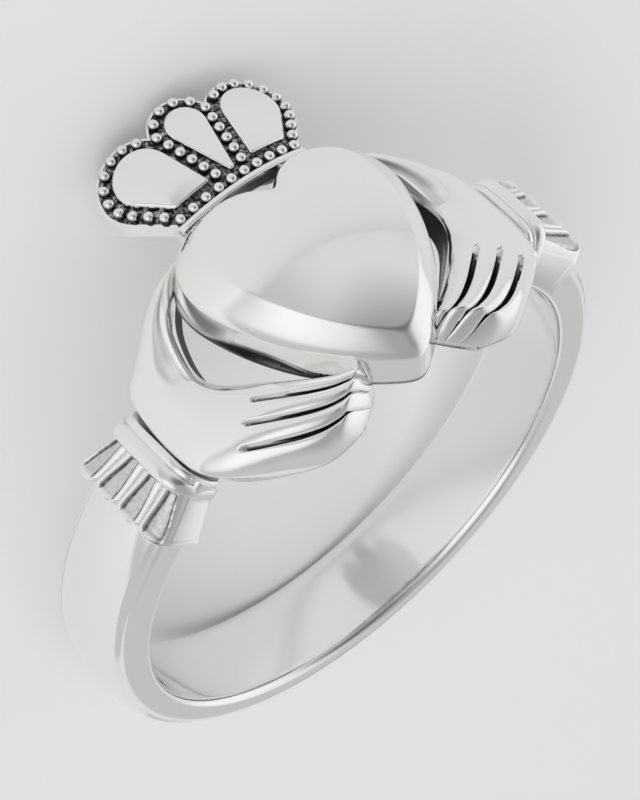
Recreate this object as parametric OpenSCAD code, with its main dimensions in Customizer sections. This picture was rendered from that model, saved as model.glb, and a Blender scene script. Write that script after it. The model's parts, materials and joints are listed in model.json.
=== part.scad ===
// Claddagh ring: two cuffed hands hold a domed heart under a three-lobed crown.
// The ring is one casting. It is drawn round its finger hole first: X runs from
// the left hand to the right hand, Y along the finger towards the crown, and Z
// from the back of the shank to the head. The last step lays it on its side.

/* [Finger] */
// Diameter of the finger hole
finger_d = 17.3; // [15:0.1:21]
// Width of the straight part of the finger hole
hole_flat_w = 2.6; // [2:0.1:2.8]
// Depth by which the edges and the head stand back from the finger
relief = 0.2; // [0.1:0.05:0.3]

/* [Shank] */
// Width of the shank along the finger
shank_w = 3.2; // [3:0.1:3.6]
// Thickness at the back of the shank
shank_back_t = 1.25; // [1:0.05:1.8]
// Thickness at the sides of the shank
shank_side_t = 1.55; // [1.3:0.05:2]
// Drop of the domed outside from its middle to its edges
shank_dome = 0.4; // [0.2:0.05:0.6]
// Radius of the shank's outer edges
shank_edge_r = 0.25; // [0.15:0.05:0.4]

/* [Heart] */
// Width of the heart
heart_w = 8.1; // [7:0.1:9]
// Length of the heart from its tip to the tops of its lobes
heart_l = 8.1; // [7:0.1:9]
// Reach of the heart's tip from the middle of the shank
heart_tip = 3.8; // [3.4:0.1:4.4]
// Gap between the finger and the heart's flat underside
heart_gap = 0.35; // [0.3:0.05:0.6]
// Height of the top of the heart's side wall above the finger
heart_wall = 1.45; // [1.1:0.05:1.8]
// Rise of the heart's dome above its side wall
heart_dome = 1.5; // [1:0.05:2]

/* [Hands] */
// Angle from the middle of the head to each wrist
wrist_a = 40.5; // [38:0.5:43]
// Reach of the hands from the middle of the shank
hand_reach = 4; // [3.7:0.1:4.3]
// Thickness of the hands
hand_t = 1.75; // [1.4:0.05:2.1]
// Depth of the grooves between the fingers
finger_groove = 0.32; // [0.15:0.01:0.4]

/* [Sleeves] */
// Length of each cuff round the finger
cuff_l = 1.15; // [0.8:0.05:1.5]
// Width of each cuff along the finger
cuff_w = 3.6; // [3.4:0.05:4]
// Shift of the cuffs towards the crown
cuff_shift = 0.15; // [0:0.05:0.25]
// Thickness of the cuffs
cuff_t = 2.1; // [1.8:0.05:2.4]
// Length of each ruffle round the finger
ruffle_l = 1.7; // [1.2:0.05:2.2]
// Width of each ruffle at its free edge
ruffle_w = 4.1; // [3.8:0.1:4.6]
// Thickness of each ruffle at its free edge
ruffle_t = 2.2; // [2.05:0.05:2.5]
// Number of pleats in each ruffle
pleats = 4; // [3:1:8]
// Depth of the pleats' hollows under the ridges between them
pleat_depth = 0.22; // [0.1:0.01:0.3]

/* [Crown] */
// Reach of the crown from the middle of the shank
crown_reach = 8.4; // [8:0.1:9]
// Width of the crown over its side lobes
crown_w = 7.1; // [6.4:0.1:7.6]
// Width of the crown at its base
crown_base_w = 4.9; // [4.4:0.1:5.4]
// Height of the petals' tops above the finger
crown_t = 1.97; // [1.7:0.05:2.3]
// Radius of the crown's curved face
crown_r = 7.1; // [6.5:0.1:9]
// Thickness of the crown's plate at the outer edges of its side lobes
crown_edge_t = 0.65; // [0.5:0.05:1]
// Height of the petals above the floor between them
petal_h = 0.25; // [0.15:0.01:0.35]
// Width of the rail along the crown's base
rail_w = 0.24; // [0.18:0.01:0.35]
// Diameter of the beads
bead_d = 0.38; // [0.3:0.01:0.44]
// Beads in the row along the base
base_beads = 10; // [8:1:12]

/* [Hidden] */

$fn = 48;
SILVER = [0.80, 0.80, 0.81];
DARK_SILVER = [0.42, 0.42, 0.43];

finger_r = finger_d / 2;
head_r = finger_r + relief;
// How far the undersides of the hands and ruffles, and then of the cuffs, step back
under_step = 0.08;
under_r = head_r + under_step;
cuff_under_r = under_r + under_step;
// Facets of the large round faces, and angle of a facet of the crown's lobes
ROUND_FN = 120;
LOBE_STEP_A = 8;
// Overlap of shapes that share an edge
OVERLAP = 0.01;

// Points round the finger: angle from the middle of the head, radius, place along the finger
function polar(a, r, y) = [r * sin(a), y, r * cos(a)];
// Angle that an arc length spans at a radius
function arc_a(length, r) = length / r * 180 / PI;
function mix(a, b, s) = a + (b - a) * s;
function clamp(x, low, high) = min(max(x, low), high);
// Smooth step from 0 at low to 1 at high
function ease(x, low, high) = let (s = clamp((x - low) / (high - low), 0, 1)) s * s * (3 - 2 * s);
// Arch over t from 0 to 1: 0 at both ends and 1 in the middle, flatter for a higher power
function arch(t, power) = 1 - pow(abs(2 * t - 1), power);
// Smooth curve through the rows of a table, s from 0 to the last row's number
function row_at(rows, s) =
    let (
        last = len(rows) - 1,
        i = clamp(floor(s), 0, last - 1),
        f = s - i,
        p = rows[max(i - 1, 0)],
        q = rows[i],
        r = rows[i + 1],
        t = rows[min(i + 2, last)]
    )
    0.5 * (2 * q + (r - p) * f + (2 * p - 5 * q + 4 * r - t) * f * f + (3 * q - p - 3 * r + t) * f * f * f);

// Closed body through rings of the same number of points, each ring turning
// anticlockwise as seen from the ring before it
module loft(rings) {
    n = len(rings[0]);
    last = len(rings) - 1;
    points = [for (ring = rings) each ring];
    walls = [
        for (k = [0 : last - 1], j = [0 : n - 1])
            let (a = k * n + j, b = k * n + (j + 1) % n)
            each [[a, b, b + n], [a, b + n, a + n]]
    ];
    start = [[for (j = [n - 1 : -1 : 0]) j]];
    end = [[for (j = [0 : n - 1]) last * n + j]];
    polyhedron(points, concat(walls, start, end), convexity = 6);
}

// Shank

shank_out_r = finger_r + shank_side_t;
// The outside is a circle whose centre stands off the hole's, which thins the back
shank_shift = shank_side_t - shank_back_t;
cuff_a = arc_a(cuff_l, finger_r + cuff_t);
// The shank ends inside the cuffs, and the ruffles start there
shank_end_share = 0.45;
ruffle_start_share = 0.7;
shank_end_a = wrist_a + cuff_a * shank_end_share;
// Metal of the shank's blank inside the finger hole, before the hole is cut
hole_stock = 0.6;

// Half of the shank's section, from the middle of its outside to its edge
function shank_half() =
    let (
        half = shank_w / 2,
        sag_r = (half * half + shank_dome * shank_dome) / (2 * shank_dome),
        edge = shank_out_r - shank_dome,
        steps = 5
    )
    concat(
        [
            for (i = [0 : steps])
                let (y = (half - shank_edge_r) * i / steps)
                [shank_out_r - sag_r + sqrt(sag_r * sag_r - y * y), y]
        ],
        [
            for (i = [1 : steps])
                let (a = 90 * i / steps)
                [edge - shank_edge_r + shank_edge_r * cos(a), half - shank_edge_r + shank_edge_r * sin(a)]
        ]
    );

module shank() {
    half = shank_half();
    inner = finger_r - shank_shift - hole_stock;
    section = concat(
        half,
        [[inner, shank_w / 2], [inner, -shank_w / 2]],
        [for (i = [len(half) - 1 : -1 : 1]) [half[i][0], -half[i][1]]]
    );
    color(SILVER)
        translate([0, 0, shank_shift])
            rotate([90, 0, 0])
                rotate([0, 0, 90 + shank_end_a])
                    rotate_extrude(angle = 360 - 2 * shank_end_a, $fn = ROUND_FN)
                        polygon(section);
}

// Hands

// A strip that bends round the opening beside the heart, from behind the lobe
// (first row) past the wrist to the fingertips, whose ends slope down to the
// finger (last rows). Each row holds the inner and the outer edge, as shares of
// the wrist's angle and of the hands' reach, the height as a share of the hands'
// thickness, and how far the middle bows ahead, as a share of the wrist's angle.
INNER_A = 0;
INNER_Y = 1;
OUTER_A = 2;
OUTER_Y = 3;
TOP = 4;
BOW = 5;
hand_rows = [
    [0.34, 1.00, 0.35, 1.05, 0.72, 0],
    [0.47, 0.93, 0.49, 0.99, 0.84, 0],
    [0.56, 0.80, 0.61, 0.94, 0.92, 0],
    [0.64, 0.65, 0.74, 0.82, 0.97, 0],
    [0.69, 0.48, 0.87, 0.65, 1.00, 0],
    [0.72, 0.31, 0.98, 0.44, 1.00, 0],
    [0.72, 0.17, 1.02, 0.07, 1.00, 0],
    [0.68, 0.03, 1.00, -0.29, 1.00, 0],
    [0.61, -0.10, 0.93, -0.49, 1.00, 0],
    [0.53, -0.22, 0.85, -0.65, 1.00, 0],
    [0.45, -0.34, 0.76, -0.79, 0.99, 0],
    [0.37, -0.45, 0.67, -0.89, 0.97, 0],
    [0.29, -0.54, 0.59, -0.95, 0.93, 0],
    [0.22, -0.59, 0.52, -0.97, 0.88, 0],
    [0.185, -0.60, 0.46, -0.97, 0.80, 0.01],
    [0.175, -0.605, 0.40, -0.96, 0.50, 0.04],
    [0.17, -0.61, 0.36, -0.94, 0.27, 0.05]
];
// Row at which the grooves between the fingers begin, and where they are deep
groove_start = 8.6;
groove_full = 10.5;
fingers = 4;
// Roundness of the fingers between the grooves, and of the back of the hand: the
// lower, the rounder
finger_round = 0.6;
hand_round = 3;
// Height of the hand's edges as a share of its middle
hand_edge = 0.62;
hand_side_steps = 24;
hand_under_steps = 8;

// Height of the hand's face above the finger
function hand_height(s, t) =
    let (
        groove = finger_groove * ease(s, groove_start, groove_full)
            * (1 - pow(abs(sin(180 * fingers * t)), finger_round))
    )
    row_at(hand_rows, s)[TOP] * (hand_t * mix(hand_edge, 1, arch(t, hand_round)) - groove);
// Point of the hand at a radius, between its inner and its outer edge
function hand_point(s, t, r) =
    let (row = row_at(hand_rows, s))
    polar(
        wrist_a * (mix(row[INNER_A], row[OUTER_A], t) - row[BOW] * arch(t, 2)),
        r,
        hand_reach * mix(row[INNER_Y], row[OUTER_Y], t)
    );

module hand() {
    last = len(hand_rows) - 1;
    rings = [
        for (i = [0 : 2 * last])
            let (s = i / 2)
            concat(
                [
                    for (j = [0 : hand_side_steps])
                        let (t = j / hand_side_steps)
                        hand_point(s, t, finger_r + hand_height(s, t))
                ],
                [for (j = [hand_under_steps : -1 : 0]) hand_point(s, j / hand_under_steps, under_r)]
            )
    ];
    color(SILVER) loft(rings);
}

// Cuffs and ruffles

ruffle_a = arc_a(ruffle_l, finger_r + ruffle_t);

module cuff() {
    steps = 8;
    side_steps = 14;
    // Size at the cuff's two ends, and height of its sides, as shares
    end_w = 0.92;
    end_t = 0.78;
    side_t = 0.62;
    // Roundness along the cuff and across it: the lower, the rounder
    end_round = 2.6;
    side_round = 5;
    rings = [
        for (i = [0 : steps])
            let (
                f = i / steps,
                a = wrist_a + cuff_a * f,
                puff = arch(f, end_round),
                half = cuff_w / 2 * mix(end_w, 1, puff),
                top = cuff_t * mix(end_t, 1, puff)
            )
            concat(
                [polar(a, cuff_under_r, cuff_shift - half)],
                [
                    for (j = [0 : side_steps])
                        let (
                            t = (1 - cos(180 * j / side_steps)) / 2,
                            height = top * mix(side_t, 1, arch(t, side_round))
                        )
                        polar(a, finger_r + height, cuff_shift + half * (2 * t - 1))
                ],
                [polar(a, cuff_under_r, cuff_shift + half)]
            )
    ];
    color(SILVER) loft(rings);
}

module ruffle() {
    start_a = wrist_a + cuff_a * ruffle_start_share;
    steps = 5;
    samples_a_pleat = 8;
    samples = pleats * samples_a_pleat;
    // Width under the cuff against the shank's, thickness there and height of the
    // sides against the free edge, and depth of the pleats there
    neck_w = 0.97;
    neck_t = 0.76;
    side_t = 0.85;
    neck_pleat = 0.4;
    side_round = 5;
    // How flat the hollows are, and how narrow the ridges: the lower, the flatter
    hollow_round = 0.5;
    // Angle by which the middle of each pleat's edge stands out past the ridges
    scallop_a = 1.1;
    rings = [
        for (i = [0 : steps])
            let (
                f = i / steps,
                width = mix(shank_w * neck_w, ruffle_w, f),
                end_a = start_a + ruffle_a * f
            )
            concat(
                [polar(end_a, under_r, -width / 2)],
                [
                    for (j = [0 : samples])
                        let (
                            t = j / samples,
                            hollow = pow(abs(sin(180 * pleats * t)), hollow_round),
                            top = ruffle_t * mix(neck_t, 1, f * f) * mix(side_t, 1, arch(t, side_round)),
                            height = top - pleat_depth * mix(neck_pleat, 1, f) * hollow
                        )
                        polar(end_a + scallop_a * f * f * hollow, finger_r + height, width * (t - 0.5))
                ],
                [polar(end_a, under_r, width / 2)]
            )
    ];
    color(SILVER) loft(rings);
}

// Heart

// The lobes' radius, the sides' radius and the dome's middle, as shares of the heart
lobe_r = heart_w * 0.268;
side_r = heart_l * 1.02;
heart_centre_y = heart_l * 0.61 - heart_tip;
lobe_x = heart_w / 2 - lobe_r;
lobe_y = heart_l - heart_tip - lobe_r;
// Each side is an arc that touches its lobe and ends at the tip
side_reach = norm([lobe_x, lobe_y + heart_tip]);
side_gap = side_r - lobe_r;
side_squares = side_reach * side_reach + side_r * side_r - side_gap * side_gap;
side_turn = acos(side_squares / (2 * side_reach * side_r));
side_a = atan2(lobe_y + heart_tip, lobe_x) + side_turn;
side_x = side_r * cos(side_a);
side_y = side_r * sin(side_a) - heart_tip;
touch_a = atan2(lobe_y - side_y, lobe_x - side_x);
tip_a = atan2(-heart_tip - side_y, -side_x);
cleft_a = 180 - acos(lobe_x / lobe_r);

// Right half of the outline from the tip to the cleft
function heart_half() =
    let (side_steps = 14, lobe_steps = 16)
    concat(
        [
            for (i = [0 : side_steps - 1])
                let (a = mix(tip_a, touch_a, i / side_steps))
                [side_x + side_r * cos(a), side_y + side_r * sin(a)]
        ],
        [
            for (i = [0 : lobe_steps])
                let (a = mix(touch_a, cleft_a, i / lobe_steps))
                [lobe_x + lobe_r * cos(a), lobe_y + lobe_r * sin(a)]
        ]
    );

// Each row holds a ring's size as a share of the outline, and how far the shoulder
// has risen to the dome there
SIZE = 0;
RISEN = 1;
heart_rows = [
    [0.975, 0.00],
    [0.958, 0.16],
    [0.925, 0.37],
    [0.88, 0.60],
    [0.83, 0.80],
    [0.785, 0.95],
    [0.755, 1],
    [0.66, 1],
    [0.55, 1],
    [0.42, 1],
    [0.28, 1],
    [0.14, 1],
    [0.05, 1]
];
// How much narrower the shoulder is at the tip, which fades from and to these sizes
tip_narrow = 0.35;
narrow_from = 0.3;
narrow_to = 0.9;
// Shares of its rise that the dome loses at the sides and at the tip, and how far
// out, as shares of the heart, they are lost
side_drop = 0.42;
side_drop_x = 0.38;
tip_drop = 0.55;
tip_drop_y = 0.5;

module heart() {
    right = heart_half();
    n = len(right);
    left = [for (i = [1 : n - 2]) [-right[i][0], right[i][1]]];
    outline = concat([for (i = [n - 1 : -1 : 0]) right[i]], left);
    wall_z = finger_r + heart_wall;
    function ring_at(size, risen) = [
        for (p = outline)
            let (
                tipward = ease(heart_centre_y - p[1], 0, heart_centre_y + heart_tip),
                narrow = tip_narrow * tipward * ease(size, narrow_from, narrow_to),
                near = 1 - (1 - size) * (1 - narrow),
                x = p[0] * near,
                y = mix(heart_centre_y, p[1], near),
                side_lost = side_drop * pow(x / (heart_w * side_drop_x), 2),
                tip_lost = tip_drop * pow((y - heart_centre_y) / (heart_l * tip_drop_y), 2)
            )
            [x, y, wall_z + heart_dome * risen * (1 - side_lost - tip_lost)]
    ];
    base = [for (p = outline) [p[0], p[1], finger_r + heart_gap]];
    color(SILVER) loft(concat([base], [for (row = heart_rows) ring_at(row[SIZE], row[RISEN])]));
}

// Crown

crown_top = finger_r + crown_t;
crown_centre_z = crown_top - crown_r;
floor_r = crown_r - petal_h;
crown_under = crown_centre_z + sqrt(floor_r * floor_r - pow(crown_w / 2, 2)) - crown_edge_t;
// From the beads' middles to the crown's edge, and to the petals
bead_edge = bead_d * 0.6;
bead_gap = bead_d * 0.74;
// How much of a bead stands above the floor, and of the rail above it
bead_lift = bead_d * 0.24;
rail_drop = petal_h * 0.2;

// The bead rows: along the base, up beside the middle petal, and round the lobes
rail_y = heart_l - heart_tip;
base_y = rail_y + rail_w + bead_d / 2;
base_x = crown_base_w / 2 - bead_edge;
// The lobes' radii follow both the crown's width and its height above the base row
crown_size = sqrt(crown_w * (crown_reach - base_y));
mid_r = crown_size * 0.192;
mid_c = [0, crown_reach - bead_edge - mid_r];
lobe_bead_r = crown_size * 0.2364;
lobe_c = [crown_w / 2 - bead_edge - lobe_bead_r, mix(base_y, mid_c[1], 0.78)];

// Direction of the line from a point that touches a circle, on its right for side = -1
function touch_dir(p, c, r, side) = let (d = c - p) atan2(d[1], d[0]) + side * asin(r / norm(d));
// The place where that line touches
function touch_at(p, c, r, side) =
    let (d = c - p, l = sqrt(d * d - r * r), a = touch_dir(p, c, r, side))
    p + l * [cos(a), sin(a)];
function line_points(p, q, count) = [for (i = [0 : count - 1]) mix(p, q, i / (count - 1))];
function arc_points(c, r, a0, a1, count) = [
    for (i = [0 : count - 1]) let (a = mix(a0, a1, i / (count - 1))) c + r * [cos(a), sin(a)]
];

bead_pitch = 2 * base_x / (base_beads - 1);
function beads_along(length) = max(3, round(length / bead_pitch) + 1);
// The rows beside the middle petal run to the valleys between the lobes
valley_a = 13;
valley = mid_c + mid_r * [cos(valley_a), sin(valley_a)];
slant_start = [bead_pitch, base_y + bead_pitch * 0.9];
slant_row = line_points(slant_start, valley, beads_along(norm(valley - slant_start)));
// The lobes' rows start beside the valleys and run down to the base
lobe_start_a = 120;
lobe_end = [base_x, base_y];
lobe_end_a = touch_dir(lobe_end, lobe_c, lobe_bead_r, -1) - 90;
lobe_touch = touch_at(lobe_end, lobe_c, lobe_bead_r, -1);
lobe_arc_l = (lobe_start_a - lobe_end_a) * PI / 180 * lobe_bead_r;
lobe_arc = arc_points(lobe_c, lobe_bead_r, lobe_start_a, lobe_end_a, beads_along(lobe_arc_l));
lobe_line = line_points(lobe_touch, lobe_end, beads_along(norm(lobe_end - lobe_touch)));
lobe_row = concat(lobe_arc, [for (i = [1 : len(lobe_line) - 2]) lobe_line[i]]);
// The row over the middle petal spreads by this angle to each side of its top
mid_row_a = 47;
mid_beads = 4;
mid_row = arc_points(mid_c, mid_r, 90 - mid_row_a, 90 + mid_row_a, mid_beads);
base_row = line_points([-base_x, base_y], lobe_end, base_beads);

function bead_z(p) = crown_centre_z + sqrt(pow(floor_r + bead_lift, 2) - p[0] * p[0]);

module bead(p) {
    translate([p[0], p[1], bead_z(p)]) sphere(d = bead_d, $fn = 24);
}

// A round lobe that narrows to a base between two points
module drop(c, r, left, right) {
    right_a = touch_dir(right, c, r, -1) - 90;
    left_a = touch_dir(left, c, r, 1) + 90;
    steps = 2 * ceil((left_a - right_a) / LOBE_STEP_A / 2);
    polygon(concat([left, right], arc_points(c, r, right_a, left_a, steps + 1)));
}

// Raises a flat shape to the face that lies this deep under the petals' tops
module raised(depth) {
    intersection() {
        translate([0, 0, crown_under])
            linear_extrude(crown_t)
                children();
        translate([0, crown_reach, crown_centre_z])
            rotate([90, 0, 0])
                cylinder(r = crown_r - depth, h = 2 * crown_reach, center = true, $fn = ROUND_FN);
    }
}

module crown_outline() {
    half = crown_base_w / 2;
    root_l = 0.4;
    root_w = 1.1;
    for (side = [-1, 1])
        scale([side, 1]) {
            drop(lobe_c, lobe_bead_r + bead_edge, [0, base_y], [half, base_y]);
            // A root that joins the plate to the heart's lobe
            translate([lobe_x - root_w / 2, rail_y - root_l]) square([root_w, root_l + OVERLAP]);
        }
    drop(mid_c, mid_r + bead_edge, [-half / 2, base_y], [half / 2, base_y]);
    translate([-half, rail_y]) square([crown_base_w, base_y - rail_y + OVERLAP]);
}

module petals() {
    foot_y = base_y + bead_gap * 1.2;
    mid_foot_y = base_y + bead_gap * 0.85;
    point_w = 0.04;
    color(SILVER)
        raised(0) {
            for (side = [-1, 1])
                scale([side, 1])
                    drop(
                        lobe_c,
                        lobe_bead_r - bead_gap,
                        [slant_start[0] + bead_gap * 1.2, foot_y],
                        [base_x - bead_gap * 0.4, foot_y]
                    );
            drop(mid_c, mid_r - bead_gap * 1.2, [-point_w / 2, mid_foot_y], [point_w / 2, mid_foot_y]);
        }
}

module crown() {
    color(DARK_SILVER) raised(petal_h) crown_outline();
    color(SILVER)
        raised(rail_drop)
            translate([-crown_base_w / 2, rail_y])
                square([crown_base_w, rail_w]);
    petals();
    color(SILVER) {
        for (p = concat(base_row, mid_row)) bead(p);
        for (side = [-1, 1], p = concat(lobe_row, slant_row)) bead([side * p[0], p[1]]);
    }
}

// Finger hole: straight in the middle, with soft edges, and set back under the head

module finger_hole() {
    // The hole is cut past the crown and past the shank by this much
    clear = 2;
    flat = hole_flat_w / 2;
    edge_w = (shank_w - hole_flat_w) / 2;
    steps = 5;
    reach = crown_reach + clear;
    upper = [
        for (i = [0 : steps])
            let (a = 90 * i / steps)
            [finger_r + relief * (1 - cos(a)), flat + edge_w * sin(a)]
    ];
    section = concat(
        [[0, -reach], [head_r, -reach]],
        [for (i = [steps : -1 : 0]) [upper[i][0], -upper[i][1]]],
        upper,
        [[head_r, reach], [0, reach]]
    );
    rotate([90, 0, 0]) rotate_extrude($fn = ROUND_FN) polygon(section);
}

module ring_upright() {
    difference() {
        union() {
            shank();
            for (side = [0, 1]) mirror([side, 0, 0]) {
                hand();
                cuff();
                ruffle();
            }
            heart();
            crown();
        }
        finger_hole();
    }
}

// At rest the ring lies on its side: the crown's end and the back of the shank
// touch the surface
back_r = finger_r + shank_back_t - shank_dome - shank_edge_r;
back_y = shank_w / 2 - shank_edge_r;
rest_run = head_r + back_r;
rest_rise = crown_reach - back_y;
rest_a = atan2(rest_rise, rest_run) - asin(shank_edge_r / norm([rest_run, rest_rise]));
rest_z = crown_reach * cos(rest_a) - head_r * sin(rest_a);
// How far the lying ring reaches from its hole's middle, past its crown and its back
front_reach = bead_d / 2 + max([for (p = mid_row) p[1] * sin(rest_a) + bead_z(p) * cos(rest_a)]);
back_reach = max([for (p = shank_half()) p[1] * sin(rest_a) + (p[0] - shank_shift) * cos(rest_a)]);

module ring() {
    translate([0, (front_reach - back_reach) / 2, rest_z])
        rotate([0, 0, 180])
            rotate([rest_a - 90, 0, 0])
                ring_upright();
}

ring();
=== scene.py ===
import json
import math

import bmesh
import bpy
from mathutils import Matrix, Vector


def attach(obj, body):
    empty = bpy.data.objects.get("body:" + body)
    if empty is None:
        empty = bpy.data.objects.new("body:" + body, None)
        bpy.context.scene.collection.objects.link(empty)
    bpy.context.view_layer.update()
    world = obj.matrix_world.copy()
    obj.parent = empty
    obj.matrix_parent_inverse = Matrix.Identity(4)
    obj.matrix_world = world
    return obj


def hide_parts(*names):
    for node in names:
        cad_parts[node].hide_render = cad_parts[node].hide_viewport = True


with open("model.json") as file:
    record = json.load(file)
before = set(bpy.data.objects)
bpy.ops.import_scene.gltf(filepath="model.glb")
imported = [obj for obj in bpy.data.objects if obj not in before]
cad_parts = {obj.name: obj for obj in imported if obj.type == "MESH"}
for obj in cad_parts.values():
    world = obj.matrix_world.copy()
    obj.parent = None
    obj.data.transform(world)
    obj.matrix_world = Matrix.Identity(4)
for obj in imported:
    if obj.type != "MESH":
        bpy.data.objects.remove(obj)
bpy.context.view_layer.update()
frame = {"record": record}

# The ring is modelled upright in millimetres round its finger hole: X from hand to hand,
# Y along the finger to the crown, Z from the back of the shank to the head.
# This matrix lays a finished piece on its side, as the casting lies, and makes it metres.
bore = next(m for m in frame["record"]["mounts"] if m["kind"] == "bore")
towardCrown = -Vector(bore["axis"])
acrossHands = Vector((-1, 0, 0))
towardHead = acrossHands.cross(towardCrown)
layDown = Matrix((acrossHands, towardCrown, towardHead)).transposed().to_4x4()
layDown = Matrix.Translation(Vector(bore["pos_m"])) @ layDown @ Matrix.Scale(0.001, 4)

holeRadius = bore["dims"]["r_mm"]
headRelief = 0.2        # how far the head stands back from the finger
headRadius = holeRadius + headRelief
mergeDistance = 0.0005  # corners closer than this become one


def mix(a, b, share):
    return a + (b - a) * share


def ease(x, low, high):
    share = min(max((x - low) / (high - low), 0), 1)
    return share * share * (3 - 2 * share)


def arch(t, power):
    return max(1 - abs(2 * t - 1) ** power, 0)


def spaced(count):
    # shares from 0 to 1, closer together at both ends
    return [(1 - math.cos(math.pi * i / count)) / 2 for i in range(count + 1)]


def around(turn, radius, along):
    # a point round the finger, its turn in degrees from the middle of the head
    a = math.radians(turn)
    return Vector((radius * math.sin(a), along, radius * math.cos(a)))


def rowAt(rows, s):
    # a smooth curve through the rows of a table
    last = len(rows) - 1
    i = min(max(int(s), 0), last - 1)
    f = s - i
    picked = [rows[max(i - 1, 0)], rows[i], rows[i + 1], rows[min(i + 2, last)]]
    return [
        0.5 * (2 * q + (r - p) * f + (2 * p - 5 * q + 4 * r - t) * f ** 2 + (3 * q - p - 3 * r + t) * f ** 3)
        for p, q, r, t in zip(*picked)
    ]


# Modelling by hand: a flat primitive is drawn out, section after section


def nothingSelected():
    if bpy.context.object and bpy.context.object.mode == "EDIT":
        bpy.ops.object.mode_set(mode="OBJECT")
    bpy.ops.object.select_all(action="DESELECT")


def onlySelect(piece):
    nothingSelected()
    piece.select_set(True)
    bpy.context.view_layer.objects.active = piece


def edit(piece):
    onlySelect(piece)
    bpy.ops.object.mode_set(mode="EDIT")
    bpy.ops.mesh.select_all(action="DESELECT")


def pick(piece, test, kind="verts"):
    # in edit mode: selects the corners, edges or faces whose middle passes the test
    bpy.ops.mesh.select_mode(type={"verts": "VERT", "edges": "EDGE", "faces": "FACE"}[kind])
    bpy.ops.mesh.select_all(action="DESELECT")
    mesh = bmesh.from_edit_mesh(piece.data)
    for part in getattr(mesh, kind):
        if kind == "verts":
            part.select_set(test(part.co))
        elif kind == "edges":
            part.select_set(test((part.verts[0].co + part.verts[1].co) / 2))
        else:
            part.select_set(test(part.calc_center_median(), part.normal))
    mesh.select_flush_mode()
    bmesh.update_edit_mesh(piece.data)


def flatOutline(name, points, z=0):
    # a filled outline, drawn as a circle whose corners are then set in their places
    nothingSelected()
    bpy.ops.mesh.primitive_circle_add(vertices=len(points), radius=1, fill_type="NGON")
    piece = bpy.context.object
    piece.name = piece.data.name = name
    for corner, point in zip(piece.data.vertices, points):
        corner.co = (point[0], point[1], z)
    return piece


def drawOut(name, sections, dark=None):
    # a closed form through sections of the same number of points; dark holds how
    # dark the metal is at each point, from patina and from painted shade
    nothingSelected()
    bpy.ops.mesh.primitive_circle_add(vertices=len(sections[0]), radius=1, fill_type="NGON")
    piece = bpy.context.object
    piece.name = piece.data.name = name
    edit(piece)
    bpy.ops.mesh.select_mode(type="FACE")
    bpy.ops.mesh.select_all(action="SELECT")
    mesh = bmesh.from_edit_mesh(piece.data)
    mesh.verts.layers.float.new("tarnish")
    for i, section in enumerate(sections):
        if i:
            bpy.ops.mesh.extrude_region_move()
        mesh = bmesh.from_edit_mesh(piece.data)
        tarnish = mesh.verts.layers.float["tarnish"]
        face = next(f for f in mesh.faces if f.select)
        for j, corner in enumerate(face.verts):
            corner.co = section[j]
            corner[tarnish] = dark[i][j] if dark else 0
        bmesh.update_edit_mesh(piece.data)
    bpy.ops.object.mode_set(mode="OBJECT")
    return piece


def applied(piece, kind, **settings):
    onlySelect(piece)
    added = piece.modifiers.new(kind.lower(), kind)
    for key, value in settings.items():
        setattr(added, key, value)
    bpy.ops.object.modifier_apply(modifier=added.name)


def ownCopy(piece, name):
    onlySelect(piece)
    bpy.ops.object.duplicate()
    copy = bpy.context.object
    copy.name = copy.data.name = name
    return copy


def otherSide(piece, name):
    # the same piece for the left of the ring
    copy = ownCopy(piece, name)
    copy.scale.x = -1
    bpy.ops.object.transform_apply(location=False, rotation=False, scale=True)
    return copy


def joined(pieces, name):
    nothingSelected()
    for piece in pieces:
        piece.select_set(True)
    bpy.context.view_layer.objects.active = pieces[0]
    bpy.ops.object.join()
    pieces[0].name = pieces[0].data.name = name
    return pieces[0]


def finishPiece(piece, finishes, sharp=180):
    edit(piece)
    bpy.ops.mesh.select_all(action="SELECT")
    bpy.ops.mesh.remove_doubles(threshold=mergeDistance)
    bpy.ops.mesh.normals_make_consistent(inside=False)
    bpy.ops.object.mode_set(mode="OBJECT")
    if sharp < 180:
        bpy.ops.object.shade_smooth_by_angle(angle=math.radians(sharp))
    else:
        bpy.ops.object.shade_smooth()
    piece.matrix_world = layDown
    bpy.ops.object.transform_apply(location=True, rotation=True, scale=True)
    for finish in finishes:
        piece.data.materials.append(finish)
    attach(piece, "root")
    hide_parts("ring")
    print(piece.name, len(piece.data.polygons), "faces")


# Finishes


class Value:
    # a socket, so that shader maths reads as plain sums
    def __init__(self, tree, socket):
        self.tree, self.socket = tree, socket

    def maths(self, operation, first, second):
        node = self.tree.nodes.new("ShaderNodeMath")
        node.operation = operation
        for spot, term in zip(node.inputs, (first, second)):
            if isinstance(term, Value):
                self.tree.links.new(term.socket, spot)
            else:
                spot.default_value = term
        return Value(self.tree, node.outputs[0])

    def __add__(self, other):
        return self.maths("ADD", self, other)

    def __mul__(self, other):
        return self.maths("MULTIPLY", self, other)

    __radd__, __rmul__ = __add__, __mul__


class Finish:
    # a tree of shader nodes, filled one node at a time
    def __init__(self, tree):
        self.tree = tree
        self.tree.nodes.clear()

    def node(self, kind, settings, sockets, output=0):
        made = self.tree.nodes.new(kind)
        for key, value in settings.items():
            if key == "stops":
                while len(made.color_ramp.elements) < len(value):
                    made.color_ramp.elements.new(0.5)
                for stop, (place, shade) in zip(made.color_ramp.elements, value):
                    stop.position, stop.color = place, (shade, shade, shade, 1)
            else:
                setattr(made, key, value)
        for key, value in sockets.items():
            if isinstance(value, Value):
                self.tree.links.new(value.socket, made.inputs[key])
            else:
                made.inputs[key].default_value = value
        return Value(self.tree, made.outputs[output]) if made.outputs else made


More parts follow.
